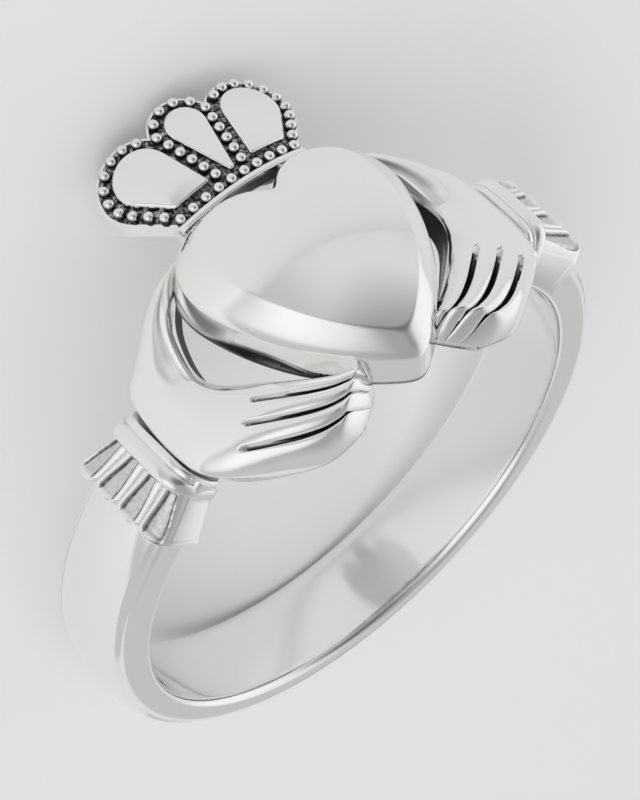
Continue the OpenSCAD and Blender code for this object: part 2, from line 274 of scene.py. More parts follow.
def newFinish(name):
    # a material of that name, and the tree that its nodes go into
    material = bpy.data.materials.new(name)
    material.use_nodes = True
    return material, Finish(material.node_tree)


silverLook = {
    "bright": (0.93, 0.925, 0.915, 1),
    "dark": (0.036, 0.035, 0.034, 1),
    "tarnished": (0.18, 0.85),      # darkness, from patina and painted shade, at which the dark begins, and is full
    "polish": 0.085,        # roughness where the wheel reached
    "handling": 0.05,       # how much wear in the pocket adds to it
    "darkRoughness": 0.42,
    "scratch": 0.03,
    "scratchDepth": 0.00002,
    # scales of the wear, of the strokes along the three axes and of the grime
    "wearScale": 420,
    "strokeScale": (900, 5200, 2600),
    "grimeScale": 9000,
}


def silver(name, look, alwaysDark, grain):
    # grain: how unevenly the dark lies, patina and painted shade alike
    material, finish = newFinish(name)
    place = finish.node("ShaderNodeTexCoord", {}, {}, "Object")
    wear = finish.node("ShaderNodeTexNoise", {}, {"Vector": place, "Scale": look["wearScale"], "Detail": 3})
    stretched = finish.node("ShaderNodeMapping", {}, {"Vector": place, "Scale": look["strokeScale"]})
    strokes = finish.node("ShaderNodeTexNoise", {}, {"Vector": stretched, "Scale": 1, "Detail": 4})
    grime = finish.node("ShaderNodeTexNoise", {}, {"Vector": place, "Scale": look["grimeScale"], "Detail": 5})
    # this attribute holds patina in hollows and painted shade where parts shade each other
    kept = finish.node("ShaderNodeAttribute", {"attribute_name": "tarnish"}, {}, "Fac")
    deep = kept + alwaysDark
    begins, full = look["tarnished"]
    mask = finish.node(
        "ShaderNodeValToRGB",
        {"stops": [(begins, 0), (full, 1)]},
        {"Fac": deep * (grain * grime + (1 - grain / 2))},
    )
    # sockets 0, 6 and 7 of a colour mix are its factor and its two colours
    colour = finish.node(
        "ShaderNodeMix", {"data_type": "RGBA"}, {0: mask, 6: look["bright"], 7: look["dark"]}, 2
    )
    roughness = look["polish"] + look["handling"] * wear * strokes + look["darkRoughness"] * mask
    bump = finish.node(
        "ShaderNodeBump",
        {},
        {"Strength": look["scratch"], "Distance": look["scratchDepth"], "Height": strokes},
    )
    shader = finish.node(
        "ShaderNodeBsdfPrincipled",
        {},
        {"Base Color": colour, "Metallic": 1.0, "Roughness": roughness, "Normal": bump},
    )
    finish.node("ShaderNodeOutputMaterial", {}, {"Surface": shader})
    return material


polished = silver("polishedSilver", silverLook, alwaysDark=0, grain=0.3)
matted = silver("mattedSilver", silverLook, alwaysDark=0, grain=0.9)
# painted shade for the crown's wall that faces the heart, in the gap under the heart's cleft
shadedSilver = silver("cloudedSilver", silverLook, alwaysDark=0.62, grain=0.4)
darkened = silver("darkenedSilver", silverLook, alwaysDark=0.74, grain=2.2)

# Shank

shank = {
    "width": 3.2,
    "sideThickness": 1.55,
    "backThickness": 1.25,
    "dome": 0.4,
    "edgeRadius": 0.25,
    "holeFlat": bore["dims"]["length_mm"],
    "startTurn": 43.26,
    "inside": 0.999,        # keeps the smooth outside within the casting's size
    "outsideFrom": 0.4,     # what lies this far over the head's radius counts as outside
    "steps": 168,
    "domeSteps": 10,
    "cornerSteps": 7,
    # where points lie on the flat of the side, and on the flat of the hole
    "sideShares": (0.12, 0.5, 0.88),
    "holeShares": (0.9, 0.6, 0.3),
}


def shankSection(size):
    half = size["width"] / 2
    outside = holeRadius + size["sideThickness"]
    edge = outside - size["dome"]
    sag = (half ** 2 + size["dome"] ** 2) / (2 * size["dome"])
    corner = size["edgeRadius"]
    relief = headRadius - holeRadius
    flat = size["holeFlat"] / 2
    domeSteps, cornerSteps = size["domeSteps"], size["cornerSteps"]
    points = [
        (outside - sag + math.sqrt(sag ** 2 - y ** 2), y)
        for y in [(half - corner) * i / domeSteps for i in range(domeSteps + 1)]
    ]
    for i in range(1, cornerSteps + 1):
        a = math.pi / 2 * i / cornerSteps
        points.append((edge - corner + corner * math.cos(a), half - corner + corner * math.sin(a)))
    points += [(mix(edge - corner, headRadius, share), half) for share in size["sideShares"]]
    for i in range(cornerSteps, -1, -1):
        a = math.pi / 2 * i / cornerSteps
        points.append((holeRadius + relief * (1 - math.cos(a)), flat + (half - flat) * math.sin(a)))
    points += [(holeRadius, flat * share) for share in size["holeShares"]]
    back = [(r, -y) for r, y in reversed(points[1:])]
    return points + [(holeRadius, 0)] + back


section = shankSection(shank)
ringShank = flatOutline("shank", [(0, 0)] * len(section))
for corner, (radius, along) in zip(ringShank.data.vertices, section):
    corner.co = around(shank["startTurn"], radius, along)
edit(ringShank)
bpy.ops.mesh.select_all(action="SELECT")
bpy.ops.mesh.spin(
    steps=shank["steps"],
    angle=math.radians(360 - 2 * shank["startTurn"]),
    center=(0, 0, 0),
    axis=(0, -1, 0),
)
# the outside stands off the hole, which thins the back
pick(ringShank, lambda co: math.hypot(co.x, co.z) > headRadius + shank["outsideFrom"])
bpy.ops.transform.translate(value=(0, 0, shank["sideThickness"] - shank["backThickness"]))
bpy.ops.transform.resize(value=(shank["inside"], 1, shank["inside"]), center_override=(0, 0, 0))
bpy.ops.object.mode_set(mode="OBJECT")
finishPiece(ringShank, [polished], sharp=50)

# Hands

hands = {
    "wrist": 40.5,
    "reach": 4.0,
    "thickness": 1.75,
    "underside": 8.93,
    # height of the inner and the outer edge, and of the edge beside the cuff, as
    # shares of the middle
    "innerEdge": 0.58,
    "outerEdge": 0.4,
    "wristEdge": 0.93,
    "wristRows": (3.4, 4.8, 6.5, 11),   # rows in which that last edge rises, and falls again
    # powers of the rounding across the hand, on the inner and on the outer half
    "innerArch": (2.2, 0.7),
    "outerArch": (3, 0.6),
    "fingers": 4,
    "groove": 0.36,
    "grooveWidth": 0.15,    # share of a finger that half a groove takes
    "grooveTaper": (11, 15, 0.6),       # rows in which it narrows, and to what share
    "grooveEnd": 0.17,      # length of its rounded end, in rows
    "grooveStart": 8.85,
    "grooveFade": (12.5, 15, 0.4),      # rows in which its dark fades, and by what share
    "fingerRound": 0.3,
    "fingerRise": (0.4, 2.5),           # rows before and after the grooves' start for it
    "wallFoot": 0.35,       # height over the hole from which the side walls are shared out
    "underSteps": 12,
    # how dark the metal is: painted shade on the outer wall, the cast underside's own grey underneath, and
    # painted shade at the inner corner there
    "outerStain": 0.3,
    "underStain": 0.45,
    "cornerStain": 0.95,
    # inner wall, painted with dark reflection: rows between which its middle lightens, from and to what;
    # under the rim
    "innerRows": (6, 9),
    "innerStain": (0.95, 0.6),
    "rimStain": 0.9,
    # rows between which the sections lie, and how many there are
    "steps": [(0, 8, 44), (8, 9.6, 32), (9.6, 14, 40), (14, 16, 20)],
    "across": 112,
    # inner edge: share of the wrist's turn and of the reach; outer edge; height; bow
    "rows": [
        (0.34, 1.00, 0.35, 1.05, 0.72, 0),
        (0.47, 0.93, 0.49, 0.99, 0.84, 0),
        (0.56, 0.80, 0.61, 0.94, 0.92, 0),
        (0.64, 0.65, 0.74, 0.82, 0.97, 0),
        (0.69, 0.48, 0.87, 0.65, 1.00, 0),
        (0.72, 0.31, 0.98, 0.44, 1.00, 0),
        (0.72, 0.17, 1.02, 0.07, 1.00, 0),
        (0.68, 0.03, 1.01, -0.29, 1.00, 0),
        (0.61, -0.10, 0.96, -0.49, 1.00, 0),
        (0.53, -0.22, 0.86, -0.66, 1.00, 0),
        (0.45, -0.34, 0.76, -0.79, 0.99, 0),
        (0.37, -0.45, 0.67, -0.89, 0.97, 0),
        (0.29, -0.54, 0.59, -0.95, 0.93, 0),
        (0.22, -0.59, 0.52, -0.97, 0.90, 0),
        (0.185, -0.60, 0.46, -0.97, 0.865, 0.01),
        (0.175, -0.605, 0.40, -0.96, 0.50, 0.04),
        (0.17, -0.61, 0.36, -0.94, 0.27, 0.05),
    ],
}


def handGroove(size, s, t):
    # how deep a groove between two fingers is here, from 0 to 1
    nearest = round(t * size["fingers"])
    if nearest in (0, size["fingers"]):
        return 0
    first, last, narrowest = size["grooveTaper"]
    width = size["grooveWidth"] * mix(1, narrowest, ease(s, first, last))
    beside = (t * size["fingers"] - nearest) / width
    before = max(size["grooveStart"] - s, 0) / size["grooveEnd"]
    return 1 - ease(math.hypot(beside, before), 0, 1)


def handHeight(size, s, t, row):
    riseFrom, riseTo, fallFrom, fallTo = size["wristRows"]
    atWrist = ease(s, riseFrom, riseTo) * (1 - ease(s, fallFrom, fallTo)) * ease(t, 0.4, 0.6)
    if t < 0.5:
        edge, (bulge, power) = size["innerEdge"], size["innerArch"]
    else:
        edge, (bulge, power) = mix(size["outerEdge"], size["wristEdge"], atWrist), size["outerArch"]
    full = mix(edge, 1, arch(t, bulge) ** power)
    body = size["thickness"] * full
    off = 2 * (t * size["fingers"] % 1) - 1
    before, after = size["fingerRise"]
    fingers = ease(s, size["grooveStart"] - before, size["grooveStart"] + after)
    rounding = size["fingerRound"] * fingers * (1 - math.sqrt(1 - 0.96 * off ** 2))
    return row[4] * (body - size["groove"] * handGroove(size, s, t) - rounding)


def handSections(size):
    shares = spaced(size["across"])
    # even shares over the fingers, closer ones at the rims
    shares = [mix(share, i / size["across"], 0.75) for i, share in enumerate(shares)]
    places = [mix(low, high, i / count) for low, high, count in size["steps"] for i in range(count)]
    fadeFrom, fadeTo, fade = size["grooveFade"]
    foot, under = size["wallFoot"], size["underSteps"]
    sections, dark = [], []
    for s in places + [len(size["rows"]) - 1]:
        row = rowAt(size["rows"], s)

        def turnAt(t):
            return size["wrist"] * (mix(row[0], row[2], t) - row[5] * arch(t, 2))

        def placeAt(t):
            return size["reach"] * mix(row[1], row[3], t)

        ring = [around(turnAt(t), holeRadius + handHeight(size, s, t, row), placeAt(t)) for t in shares]
        shade = [handGroove(size, s, t) ** 6 * (1 - fade * ease(s, fadeFrom, fadeTo)) for t in shares]
        outer, inner = handHeight(size, s, 1, row), handHeight(size, s, 0, row)
        # painted shade on the outer wall and at the underside's inner corner, painted dark reflection down
        # the inner wall
        ring.append(around(turnAt(1), holeRadius + mix(foot, outer, 0.5), placeAt(1)))
        shade.append(size["outerStain"])
        for j in range(under, -1, -1):
            t = j / under
            ring.append(around(turnAt(t), size["underside"], placeAt(t)))
            shade.append(size["underStain"] if j else size["cornerStain"])
        wallShade = mix(*size["innerStain"], ease(s, *size["innerRows"]))
        for share, stain in ((0.5, wallShade), (0.92, size["rimStain"])):
            ring.append(around(turnAt(0), holeRadius + mix(foot, inner, share), placeAt(0)))
            shade.append(stain)
        sections.append(ring)
        dark.append(shade)
    return sections, dark


rightHand = drawOut("rightHand", *handSections(hands))
leftHand = otherSide(rightHand, "leftHand")
for piece in (rightHand, leftHand):
    finishPiece(piece, [polished], sharp=60)

# Cuffs and ruffles

cuffs = {
    "width": 3.6,
    "shift": 0.15,
    "thickness": 2.1,
    "underside": 9.01,
    "sideThickness": 0.35,
    "arch": (5, 0.55),      # powers of the rounding across the cuff
    # slit against the hand and narrow collar: turn past the wrist, height and width
    # as shares, and how dark the metal is
    "collar": [
        (0.0, 0.66, 0.90, 0.6),
        (0.95, 0.66, 0.90, 0.6),
        (1.0, 0.80, 0.92, 0.4),
        (1.1, 0.845, 0.93, 0),
        (1.3, 0.86, 0.94, 0),
        (2.2, 0.885, 0.95, 0),
        (2.4, 0.872, 0.95, 0.3),
    ],
    "roll": (2.5, 6.13),    # turns past the wrist between which the cuff swells
    "rollEnds": (0.88, 0.60),
    "rollWidth": (0.95, 0.9),
    "steps": 26,
    "across": 44,
}


def cuffSections(size):
    rows = list(size["collar"])
    first, last = size["roll"]
    bulge, power = size["arch"]
    for f in spaced(size["steps"]):
        swell = math.sqrt(max(1 - (2 * f - 1) ** 2, 0))
        rows.append((
            mix(first, last, f),
            mix(mix(*size["rollEnds"], f), 1, swell),
            mix(mix(*size["rollWidth"], f), 1, swell),
            0,
        ))
    sections, dark = [], []
    for past, tall, wide, shade in rows:
        turn = hands["wrist"] + past
        half = size["width"] / 2 * wide
        ring = [around(turn, size["underside"], size["shift"] - half)]
        for t in spaced(size["across"]):
            height = size["thickness"] * tall * mix(size["sideThickness"], 1, arch(t, bulge) ** power)
            ring.append(around(turn, holeRadius + height, size["shift"] + half * (2 * t - 1)))
        ring.append(around(turn, size["underside"], size["shift"] + half))
        sections.append(ring)
        dark.append([shade] * len(ring))
    return sections, dark


rightCuff = drawOut("rightCuff", *cuffSections(cuffs))
leftCuff = otherSide(rightCuff, "leftCuff")
for piece in (rightCuff, leftCuff):
    finishPiece(piece, [polished], sharp=60)

ruffles = {
    "start": 44.79,
    "turn": 8.98,
    "width": 4.1,
    "neckWidth": 3.1,
    "thickness": 2.2,
    "neckThickness": 0.85,
    "sideThickness": 0.72,
    "arch": (7, 0.8),       # powers of the rounding across the ruffle
    "pleats": 4,
    "hollow": 0.15,         # how far the pleats' panels lie under the folds between them
    "fold": (0.25, 0.13),   # half of a fold as a share of a pleat, at the cuff and at the edge
    "foldTurns": (0.1, 0.8),        # between which shares of the length the folds narrow
    "slope": 0.12,          # width of the slope from a fold to a panel
    "foot": (0.1, 0.17),    # the slope's foot, dark with painted shade: where it is full, and where it ends
    "crease": 0.06,         # depth of the crease along the middle of a fold
    "creaseWidth": 0.75,    # as a share of half a fold
    "hem": (0.88, 0.97),    # where the panels end and the rolled hem begins, and is full
    "hemRoll": 0.15,
    "hemDrop": 0.12,
    "scallop": 0.55,
    "scallopPower": 0.8,
    # how dark the panels (their patina), their feet (painted shade) and the creases are, and the plain strip
    # at the sides
    "stain": (0.36, 0.45, 0.4),
    "plainSide": (0.02, 0.07),
    "underside": 8.93,
    "steps": 28,
    "samples": 32,
}


def ruffleSections(size):
    sections, dark = [], []
    count = size["pleats"] * size["samples"]
    hemStart, hemFull = size["hem"]
    footFull, footEnd = size["foot"]
    panelStain, footShade, creaseDark = size["stain"]
    bulge, power = size["arch"]
    for f in [math.sin(math.pi / 2 * i / size["steps"]) for i in range(size["steps"] + 1)]:
        width = mix(size["neckWidth"], size["width"], f)
        turn = size["start"] + size["turn"] * f
        fold = mix(*size["fold"], ease(f, *size["foldTurns"]))
        ring = [around(turn, size["underside"], -width / 2)]
        shade = [0]
        for j in range(count + 1):
            t = j / count
            u = (t * size["pleats"]) % 1
            rim = min(u, 1 - u)
            hem = ease(f, hemStart, hemFull)
            panel = ease(rim, fold, fold + size["slope"]) * (1 - hem)
            foot = ease(rim, fold, fold + footFull) * (1 - ease(rim, fold + footFull, fold + footEnd))
            foot *= 1 - hem
            crease = (1 - ease(rim, 0, fold * size["creaseWidth"])) * (1 - hem) * (0 < t < 1)
            bow = math.sin(math.pi * u) ** size["scallopPower"]
            top = size["thickness"] * mix(size["neckThickness"], 1, f * f)
            top *= mix(size["sideThickness"], 1, arch(t, bulge) ** power)
            height = top - size["hollow"] * panel - size["crease"] * crease
            height -= size["hemRoll"] * hem * (1 - bow) + size["hemDrop"] * ease(f, hemFull, 1)
            edge = turn + size["scallop"] * f * f * bow
            ring.append(around(edge, holeRadius + height, width * (t - 0.5)))
            inside = ease(min(t, 1 - t), *size["plainSide"])
            # the panels' patina, painted shade at the folds' feet, and the creases' dark
            shade.append(panelStain * panel + (footShade * foot + creaseDark * crease) * inside)
        ring.append(around(turn, size["underside"], width / 2))
        shade.append(0)
        sections.append(ring)
        dark.append(shade)
    return sections, dark


rightRuffle = drawOut("rightRuffle", *ruffleSections(ruffles))
leftRuffle = otherSide(rightRuffle, "leftRuffle")
for piece in (rightRuffle, leftRuffle):
    finishPiece(piece, [matted], sharp=50)

# Heart

heart = {
    "width": 8.1,
    "length": 8.1,
    "tip": 3.8,
    # lobe's radius as a share of the width, the long side's as one of the length, and the
    # dome's middle as one of the length from the tip
    "lobeShare": 0.268,
    "sideShare": 1.02,
    "middleShare": 0.61,
    "underside": 9.0,
    "wallTop": 10.1,
    "dome": 1.5,
    "sideSteps": 40,
    "lobeSteps": 40,
    # wall: height above the underside, and how dark the metal is there, a painted shadow along its foot
    "wall": [(0, 0.45), (0.07, 0.7), (0.14, 0.12), (0.24, 0), (1.0, 0)],
    # painted shade where it faces the crown: how dark it is, from where to where, and how far across
    "crownStain": 0.7,
    "crownStainFrom": (2.6, 3.6),
    "crownStainWidth": 1.6,
    # ring's size as a share of the outline, how far the shoulder has risen to the
    # dome there, and how much the outline is softened
    "rows": [
        (0.966, 0.00, 6),
        (0.952, 0.16, 5),
        (0.925, 0.37, 5),
        (0.880, 0.60, 6),
        (0.830, 0.80, 7),
        (0.785, 0.95, 8),
        (0.755, 1.00, 10),
        (0.700, 1.00, 14),
        (0.600, 1.00, 26),
        (0.450, 1.00, 50),
        (0.250, 1.00, 100),
        (0.050, 1.00, 160),
    ],
    "stepsPerRow": 4,
    # how much narrower the shoulder is at the tip and beside the crown
    "tipNarrowing": 0.35,
    "crownNarrowing": 0.5,
    "crownReach": (0.8, 2.8),       # distance from the middle at which that begins, and is full
    "narrowShares": (0.3, 0.9),     # shares of the outline between which both grow
    # shares of its rise that the dome loses at the sides and at the tip, and how far
    # out they are lost
    "sideDrop": (0.42, 3.08),
    "tipDrop": (0.55, 4.05),
}


def heartOutline(size):
    lobe = size["width"] * size["lobeShare"]
    side = size["length"] * size["sideShare"]
    lobeX = size["width"] / 2 - lobe
    lobeY = size["length"] - size["tip"] - lobe
    reach = math.hypot(lobeX, lobeY + size["tip"])
    turn = math.acos((reach ** 2 + side ** 2 - (side - lobe) ** 2) / (2 * reach * side))
    sideTurn = math.atan2(lobeY + size["tip"], lobeX) + turn
    sideX, sideY = side * math.cos(sideTurn), side * math.sin(sideTurn) - size["tip"]
    touch = math.atan2(lobeY - sideY, lobeX - sideX)
    tip = math.atan2(-size["tip"] - sideY, -sideX)
    cleft = math.pi - math.acos(lobeX / lobe)
    right = []
    for i in range(size["sideSteps"]):
        a = mix(tip, touch, i / size["sideSteps"])
        right.append(Vector((sideX + side * math.cos(a), sideY + side * math.sin(a))))
    for i in range(size["lobeSteps"] + 1):
        a = mix(touch, cleft, i / size["lobeSteps"])
        right.append(Vector((lobeX + lobe * math.cos(a), lobeY + lobe * math.sin(a))))
    left = [Vector((-p.x, p.y)) for p in reversed(right[1:-1])]
    return right + left


def softened(points, passes):
    # the last pass counts only in part
    for done in range(math.ceil(passes)):
        share = min(passes - done, 1) / 4
        points = [
            mix(points[i], (points[i - 1] + points[(i + 1) % len(points)]) / 2, share * 2)
            for i in range(len(points))
        ]
    return points


def heartNear(size, centre, p, share):
    # the share itself, nearer to the outline at the tip and beside the crown
    tipward = ease(centre.y - p.y, 0, centre.y + size["tip"])
    crownward = ease(p.y - centre.y, *size["crownReach"])
    narrow = size["tipNarrowing"] * tipward + size["crownNarrowing"] * crownward
    return 1 - (1 - share) * (1 - narrow * ease(share, *size["narrowShares"]))


def heartSections(size):
    outline = heartOutline(size)
    centre = Vector((0, size["length"] * size["middleShare"] - size["tip"]))
    (sideDrop, sideReach), (tipDrop, tipReach) = size["sideDrop"], size["tipDrop"]
    sections, dark = [], []
    wallHeight = size["wallTop"] - size["underside"]
    for height, shade in size["wall"]:
        share = mix(1, size["rows"][0][0], height / wallHeight)
        ring = []
        for p in softened(outline, size["rows"][0][2]):
            q = centre + (p - centre) * heartNear(size, centre, p, share)
            ring.append(Vector((q.x, q.y, size["underside"] + height)))
        sections.append(ring)
        # painted shadow at the wall's foot, and painted shade where the heart faces the crown
        dark.append([
            max(shade, size["crownStain"] * ease(p.y, *size["crownStainFrom"]))
            if abs(p.x) < size["crownStainWidth"] else shade
            for p in ring
        ])
    last = len(size["rows"]) - 1
    for i in range(last * size["stepsPerRow"] + 1):
        share, risen, passes = rowAt(size["rows"], i / size["stepsPerRow"])
        ring = []
        for p in softened(outline, max(passes, 0)):
            q = centre + (p - centre) * heartNear(size, centre, p, share)
            dome = 1 - sideDrop * (q.x / sideReach) ** 2 - tipDrop * ((q.y - centre.y) / tipReach) ** 2
            ring.append(Vector((q.x, q.y, size["wallTop"] + size["dome"] * min(risen, 1) * dome)))
        sections.append(ring)
        dark.append([0] * len(ring))
    return sections, dark


heartPiece = drawOut("heart", *heartSections(heart))
finishPiece(heartPiece, [polished], sharp=35)

# Crown

crown = {
    "reach": 8.4,
    "width": 7.1,
    "baseWidth": 4.9,
    "faceRadius": 7.1,
    "top": 10.62,
    "underside": 8.73,
    "petalHeight": 0.25,
    "railWidth": 0.24,
    "railDrop": 0.05,
    "bead": 0.38,
    "baseBeads": 10,
    "railY": 4.3,
    "lip": 0.42,
    "strip": 0.28,          # width of the strips in which the crown is curved over the finger
    # radii of the middle and of a side lobe as shares of the width, and how high the side
    # lobes sit, as a share of the way up to the middle one
    "midShare": 0.138,
    "lobeShare": 0.17,
    "lobeRise": 0.78,
    # the bead rows' distance from the edge and from the petals, and the beads' rise over the
    # floor, as shares of a bead
    "edgeShare": 0.6,
    "gapShare": 0.74,
    "liftShare": 0.24,
    "overlap": 0.01,        # how far the plate's parts reach into each other
    "rootY": 3.9,           # two roots tie the crown to the heart's lobes
    "rootHalf": 0.55,
    "floorInset": 0.07,
    "heartSide": 2,         # half width of the wall that faces the heart
    "bodyInset": 0.08,      # how far the body under the lip stands back from it
    "bodyDepth": 1,         # its depth while flat; curveOver sets its end at the underside
    "bodyTaper": 0.94,
    "taperMiddle": (0, 6, 0),
    "softFoot": 0.05,       # how deep the petals and the rail reach into the floor
}
floorRadius = crown["faceRadius"] - crown["petalHeight"]
faceCentre = crown["top"] - crown["faceRadius"]
beadEdge = crown["bead"] * crown["edgeShare"]
beadGap = crown["bead"] * crown["gapShare"]
baseY = crown["railY"] + crown["railWidth"] + crown["bead"] / 2
baseX = crown["baseWidth"] / 2 - beadEdge
pitch = 2 * baseX / (crown["baseBeads"] - 1)
midRadius = crown["width"] * crown["midShare"]
midCentre = Vector((0, crown["reach"] - beadEdge - midRadius))
lobeRadius = crown["width"] * crown["lobeShare"]
lobeCentre = Vector((
    crown["width"] / 2 - beadEdge - lobeRadius,
    mix(baseY, midCentre.y, crown["lobeRise"]),
))


def touchTurn(point, centre, radius, side):
    # direction of the line from a point that touches a circle, in radians
    away = centre - point
    return math.atan2(away.y, away.x) + side * math.asin(radius / away.length)


def arc(centre, radius, first, last, count):
    turns = [mix(first, last, i / (count - 1)) for i in range(count)]
    return [centre + radius * Vector((math.cos(a), math.sin(a))) for a in turns]


def line(first, last, count):
    return [mix(first, last, i / (count - 1)) for i in range(count)]


def dropOutline(centre, radius, left, right, steps=40):
    # a round lobe that narrows to a base between two points
    start = touchTurn(right, centre, radius, -1) - math.pi / 2
    end = touchTurn(left, centre, radius, 1) + math.pi / 2
    return [left, right] + arc(centre, radius, start, end, steps + 1)


def rounded(points, spacing, passes):
    # the same outline in even steps, with its corners rounded
    steps = []
    for a, b in zip(points, points[1:] + points[:1]):
        count = max(1, round((b - a).length / spacing))
        steps += [mix(a, b, i / count) for i in range(count)]
    return softened(steps, passes)


def acrossX(points):
    return [Vector((-p.x, p.y)) for p in reversed(points)]


def rectangle(left, right, low, high):
    return [Vector(p) for p in ((left, low), (right, low), (right, high), (left, high))]


def slab(name, outline, height):
    piece = flatOutline(name, outline)
    edit(piece)
    bpy.ops.mesh.select_all(action="SELECT")
    bpy.ops.mesh.extrude_region_move(TRANSFORM_OT_translate={"value": (0, 0, height)})
    bpy.ops.object.mode_set(mode="OBJECT")
    return piece


def curveOver(piece):
    # cuts the flat piece in strips and lays it on the crown's curved face
    edit(piece)
    edge = crown["width"] / 2
    count = round(edge / crown["strip"])
    for i in range(-count, count + 1):
        bpy.ops.mesh.select_all(action="SELECT")
        bpy.ops.mesh.bisect(plane_co=(i * crown["strip"], 0, 0), plane_no=(1, 0, 0))
    bpy.ops.object.mode_set(mode="OBJECT")
    for corner in piece.data.vertices:
        if corner.co.z < -crown["bodyDepth"]:
            corner.co.z = crown["underside"]
        else:
            radius = floorRadius + corner.co.z
            corner.co.z = faceCentre + math.sqrt(radius ** 2 - corner.co.x ** 2)


halfBase = crown["baseWidth"] / 2
lobeOutline = dropOutline(lobeCentre, lobeRadius + beadEdge, Vector((0, baseY)), Vector((halfBase, baseY)))
midOutline = dropOutline(
    midCentre, midRadius + beadEdge, Vector((-halfBase / 2, baseY)), Vector((halfBase / 2, baseY))
)
base = rectangle(-halfBase, halfBase, crown["railY"], baseY + crown["overlap"])
parts = [
    slab("plateBase", base, -crown["lip"]),
    slab("plateRight", lobeOutline, -crown["lip"]),
    slab("plateLeft", acrossX(lobeOutline), -crown["lip"]),
    slab("plateMiddle", midOutline, -crown["lip"]),
]
rootX = heart["width"] / 2 - heart["width"] * heart["lobeShare"]
for side in (-1, 1):
    left, right = sorted((side * (rootX - crown["rootHalf"]), side * (rootX + crown["rootHalf"])))
    root = rectangle(left, right, crown["rootY"], crown["railY"] + crown["overlap"])
    parts.append(slab("root", root, -crown["lip"]))
for piece in parts:
    edit(piece)
    bpy.ops.mesh.select_all(action="SELECT")
    bpy.ops.mesh.normals_make_consistent(inside=False)
    bpy.ops.object.mode_set(mode="OBJECT")
crownPlate = parts[0]
crownPlate.name = crownPlate.data.name = "crownPlate"
for piece in parts[1:]:
    applied(crownPlate, "BOOLEAN", operation="UNION", object=piece, solver="EXACT")
    bpy.data.objects.remove(piece)
edit(crownPlate)
bpy.ops.mesh.select_all(action="SELECT")
bpy.ops.mesh.dissolve_limited(angle_limit=math.radians(1))
pick(crownPlate, lambda middle, normal: normal.z > 0.9, "faces")
bpy.ops.mesh.inset(thickness=crown["floorInset"], depth=0)
mesh = bmesh.from_edit_mesh(crownPlate.data)
for face in mesh.faces:
    # the floor between the petals, and the wall that faces the heart, which gets painted shade
    facesHeart = face.normal.y < -0.9 and abs(face.calc_center_median().x) < crown["heartSide"]
    face.material_index = 1 if face.select else 2 if facesHeart else 0
bmesh.update_edit_mesh(crownPlate.data)
pick(crownPlate, lambda middle, normal: normal.z < -0.9, "faces")
bpy.ops.mesh.inset(thickness=crown["bodyInset"], depth=0)
bpy.ops.mesh.extrude_region_move(TRANSFORM_OT_translate={"value": (0, 0, -crown["bodyDepth"])})
bpy.ops.object.mode_set(mode="OBJECT")
curveOver(crownPlate)
# the body under the lip narrows downwards
edit(crownPlate)
pick(crownPlate, lambda co: co.z < crown["underside"] + 0.01)
bpy.ops.transform.resize(
    value=(crown["bodyTaper"], crown["bodyTaper"], 1), center_override=crown["taperMiddle"]
)
bpy.ops.object.mode_set(mode="OBJECT")
finishPiece(crownPlate, [polished, darkened, shadedSilver], sharp=35)


def softSlab(name, outline, height, rim):
    # a raised form with a rounded rim
    foot = crown["softFoot"]
    piece = flatOutline(name, outline, -foot)
    edit(piece)
    bpy.ops.mesh.select_mode(type="FACE")
    bpy.ops.mesh.select_all(action="SELECT")
    bpy.ops.mesh.extrude_region_move(TRANSFORM_OT_translate={"value": (0, 0, height + foot - rim)})
    for i in range(1, 5):
        a, b = math.pi / 8 * (i - 1), math.pi / 8 * i
        bpy.ops.mesh.inset(
            thickness=rim * (math.cos(a) - math.cos(b)), depth=rim * (math.sin(b) - math.sin(a))
        )
    bpy.ops.object.mode_set(mode="OBJECT")
    curveOver(piece)
    return piece


# Gaps between a petal and the bead rows round it are shares of beadGap; spacing and passes
# say how finely its outline is stepped and how much its corners are rounded
petals = {
    "slantRise": 0.9,       # height of the slanted rows' first bead, in pitches
    "side": {
        "round": 0.92, "foot": 1.2, "left": 1.1, "right": 0.3,
        "spacing": 0.06, "passes": 3, "rim": 0.08,
    },
    "middle": {
        "round": 1.1, "foot": 0.85, "halfTip": 0.09,
        "spacing": 0.05, "passes": 2, "rim": 0.06,
    },
    "railRim": 0.07,
}
slantStart = Vector((pitch, baseY + pitch * petals["slantRise"]))
petal = petals["side"]
footY = baseY + beadGap * petal["foot"]
sidePetal = rounded(dropOutline(
    lobeCentre,
    lobeRadius - beadGap * petal["round"],
    Vector((slantStart.x + beadGap * petal["left"], footY)),
    Vector((baseX - beadGap * petal["right"], footY)),
), petal["spacing"], petal["passes"])
petal = petals["middle"]
tipX, tipY = petal["halfTip"], baseY + beadGap * petal["foot"]
middlePetal = rounded(dropOutline(
    midCentre, midRadius - beadGap * petal["round"], Vector((-tipX, tipY)), Vector((tipX, tipY))
), petal["spacing"], petal["passes"])
crownPetals = joined([
    softSlab("petal", sidePetal, crown["petalHeight"], petals["side"]["rim"]),
    softSlab("petal", acrossX(sidePetal), crown["petalHeight"], petals["side"]["rim"]),
    softSlab("petal", middlePetal, crown["petalHeight"], petals["middle"]["rim"]),
], "crownPetals")
finishPiece(crownPetals, [polished], sharp=35)

railOutline = rectangle(-halfBase, halfBase, crown["railY"], crown["railY"] + crown["railWidth"])
rail = softSlab("crownRail", railOutline, crown["petalHeight"] - crown["railDrop"], petals["railRim"])
finishPiece(rail, [polished], sharp=60)

# Beads

beadRows = {
    # turns in degrees: where a slanted row meets the middle lobe, where the side lobe's row
    # starts, and between which the middle lobe's row lies
    "valley": 13,
    "lobeStart": 120,
    "middle": (43, 137),
    "middleBeads": 4,
    "segments": 20,
    "rings": 14,
    "cutAt": -0.12,         # the beads' hidden undersides are cut off here
    "stain": 0.9,           # painted dark reflection of the recess: how dark their feet are, and how far up that reaches
    "stainTop": 0.15,
}


def beadsAlong(length):
    return max(3, round(length / pitch) + 1)


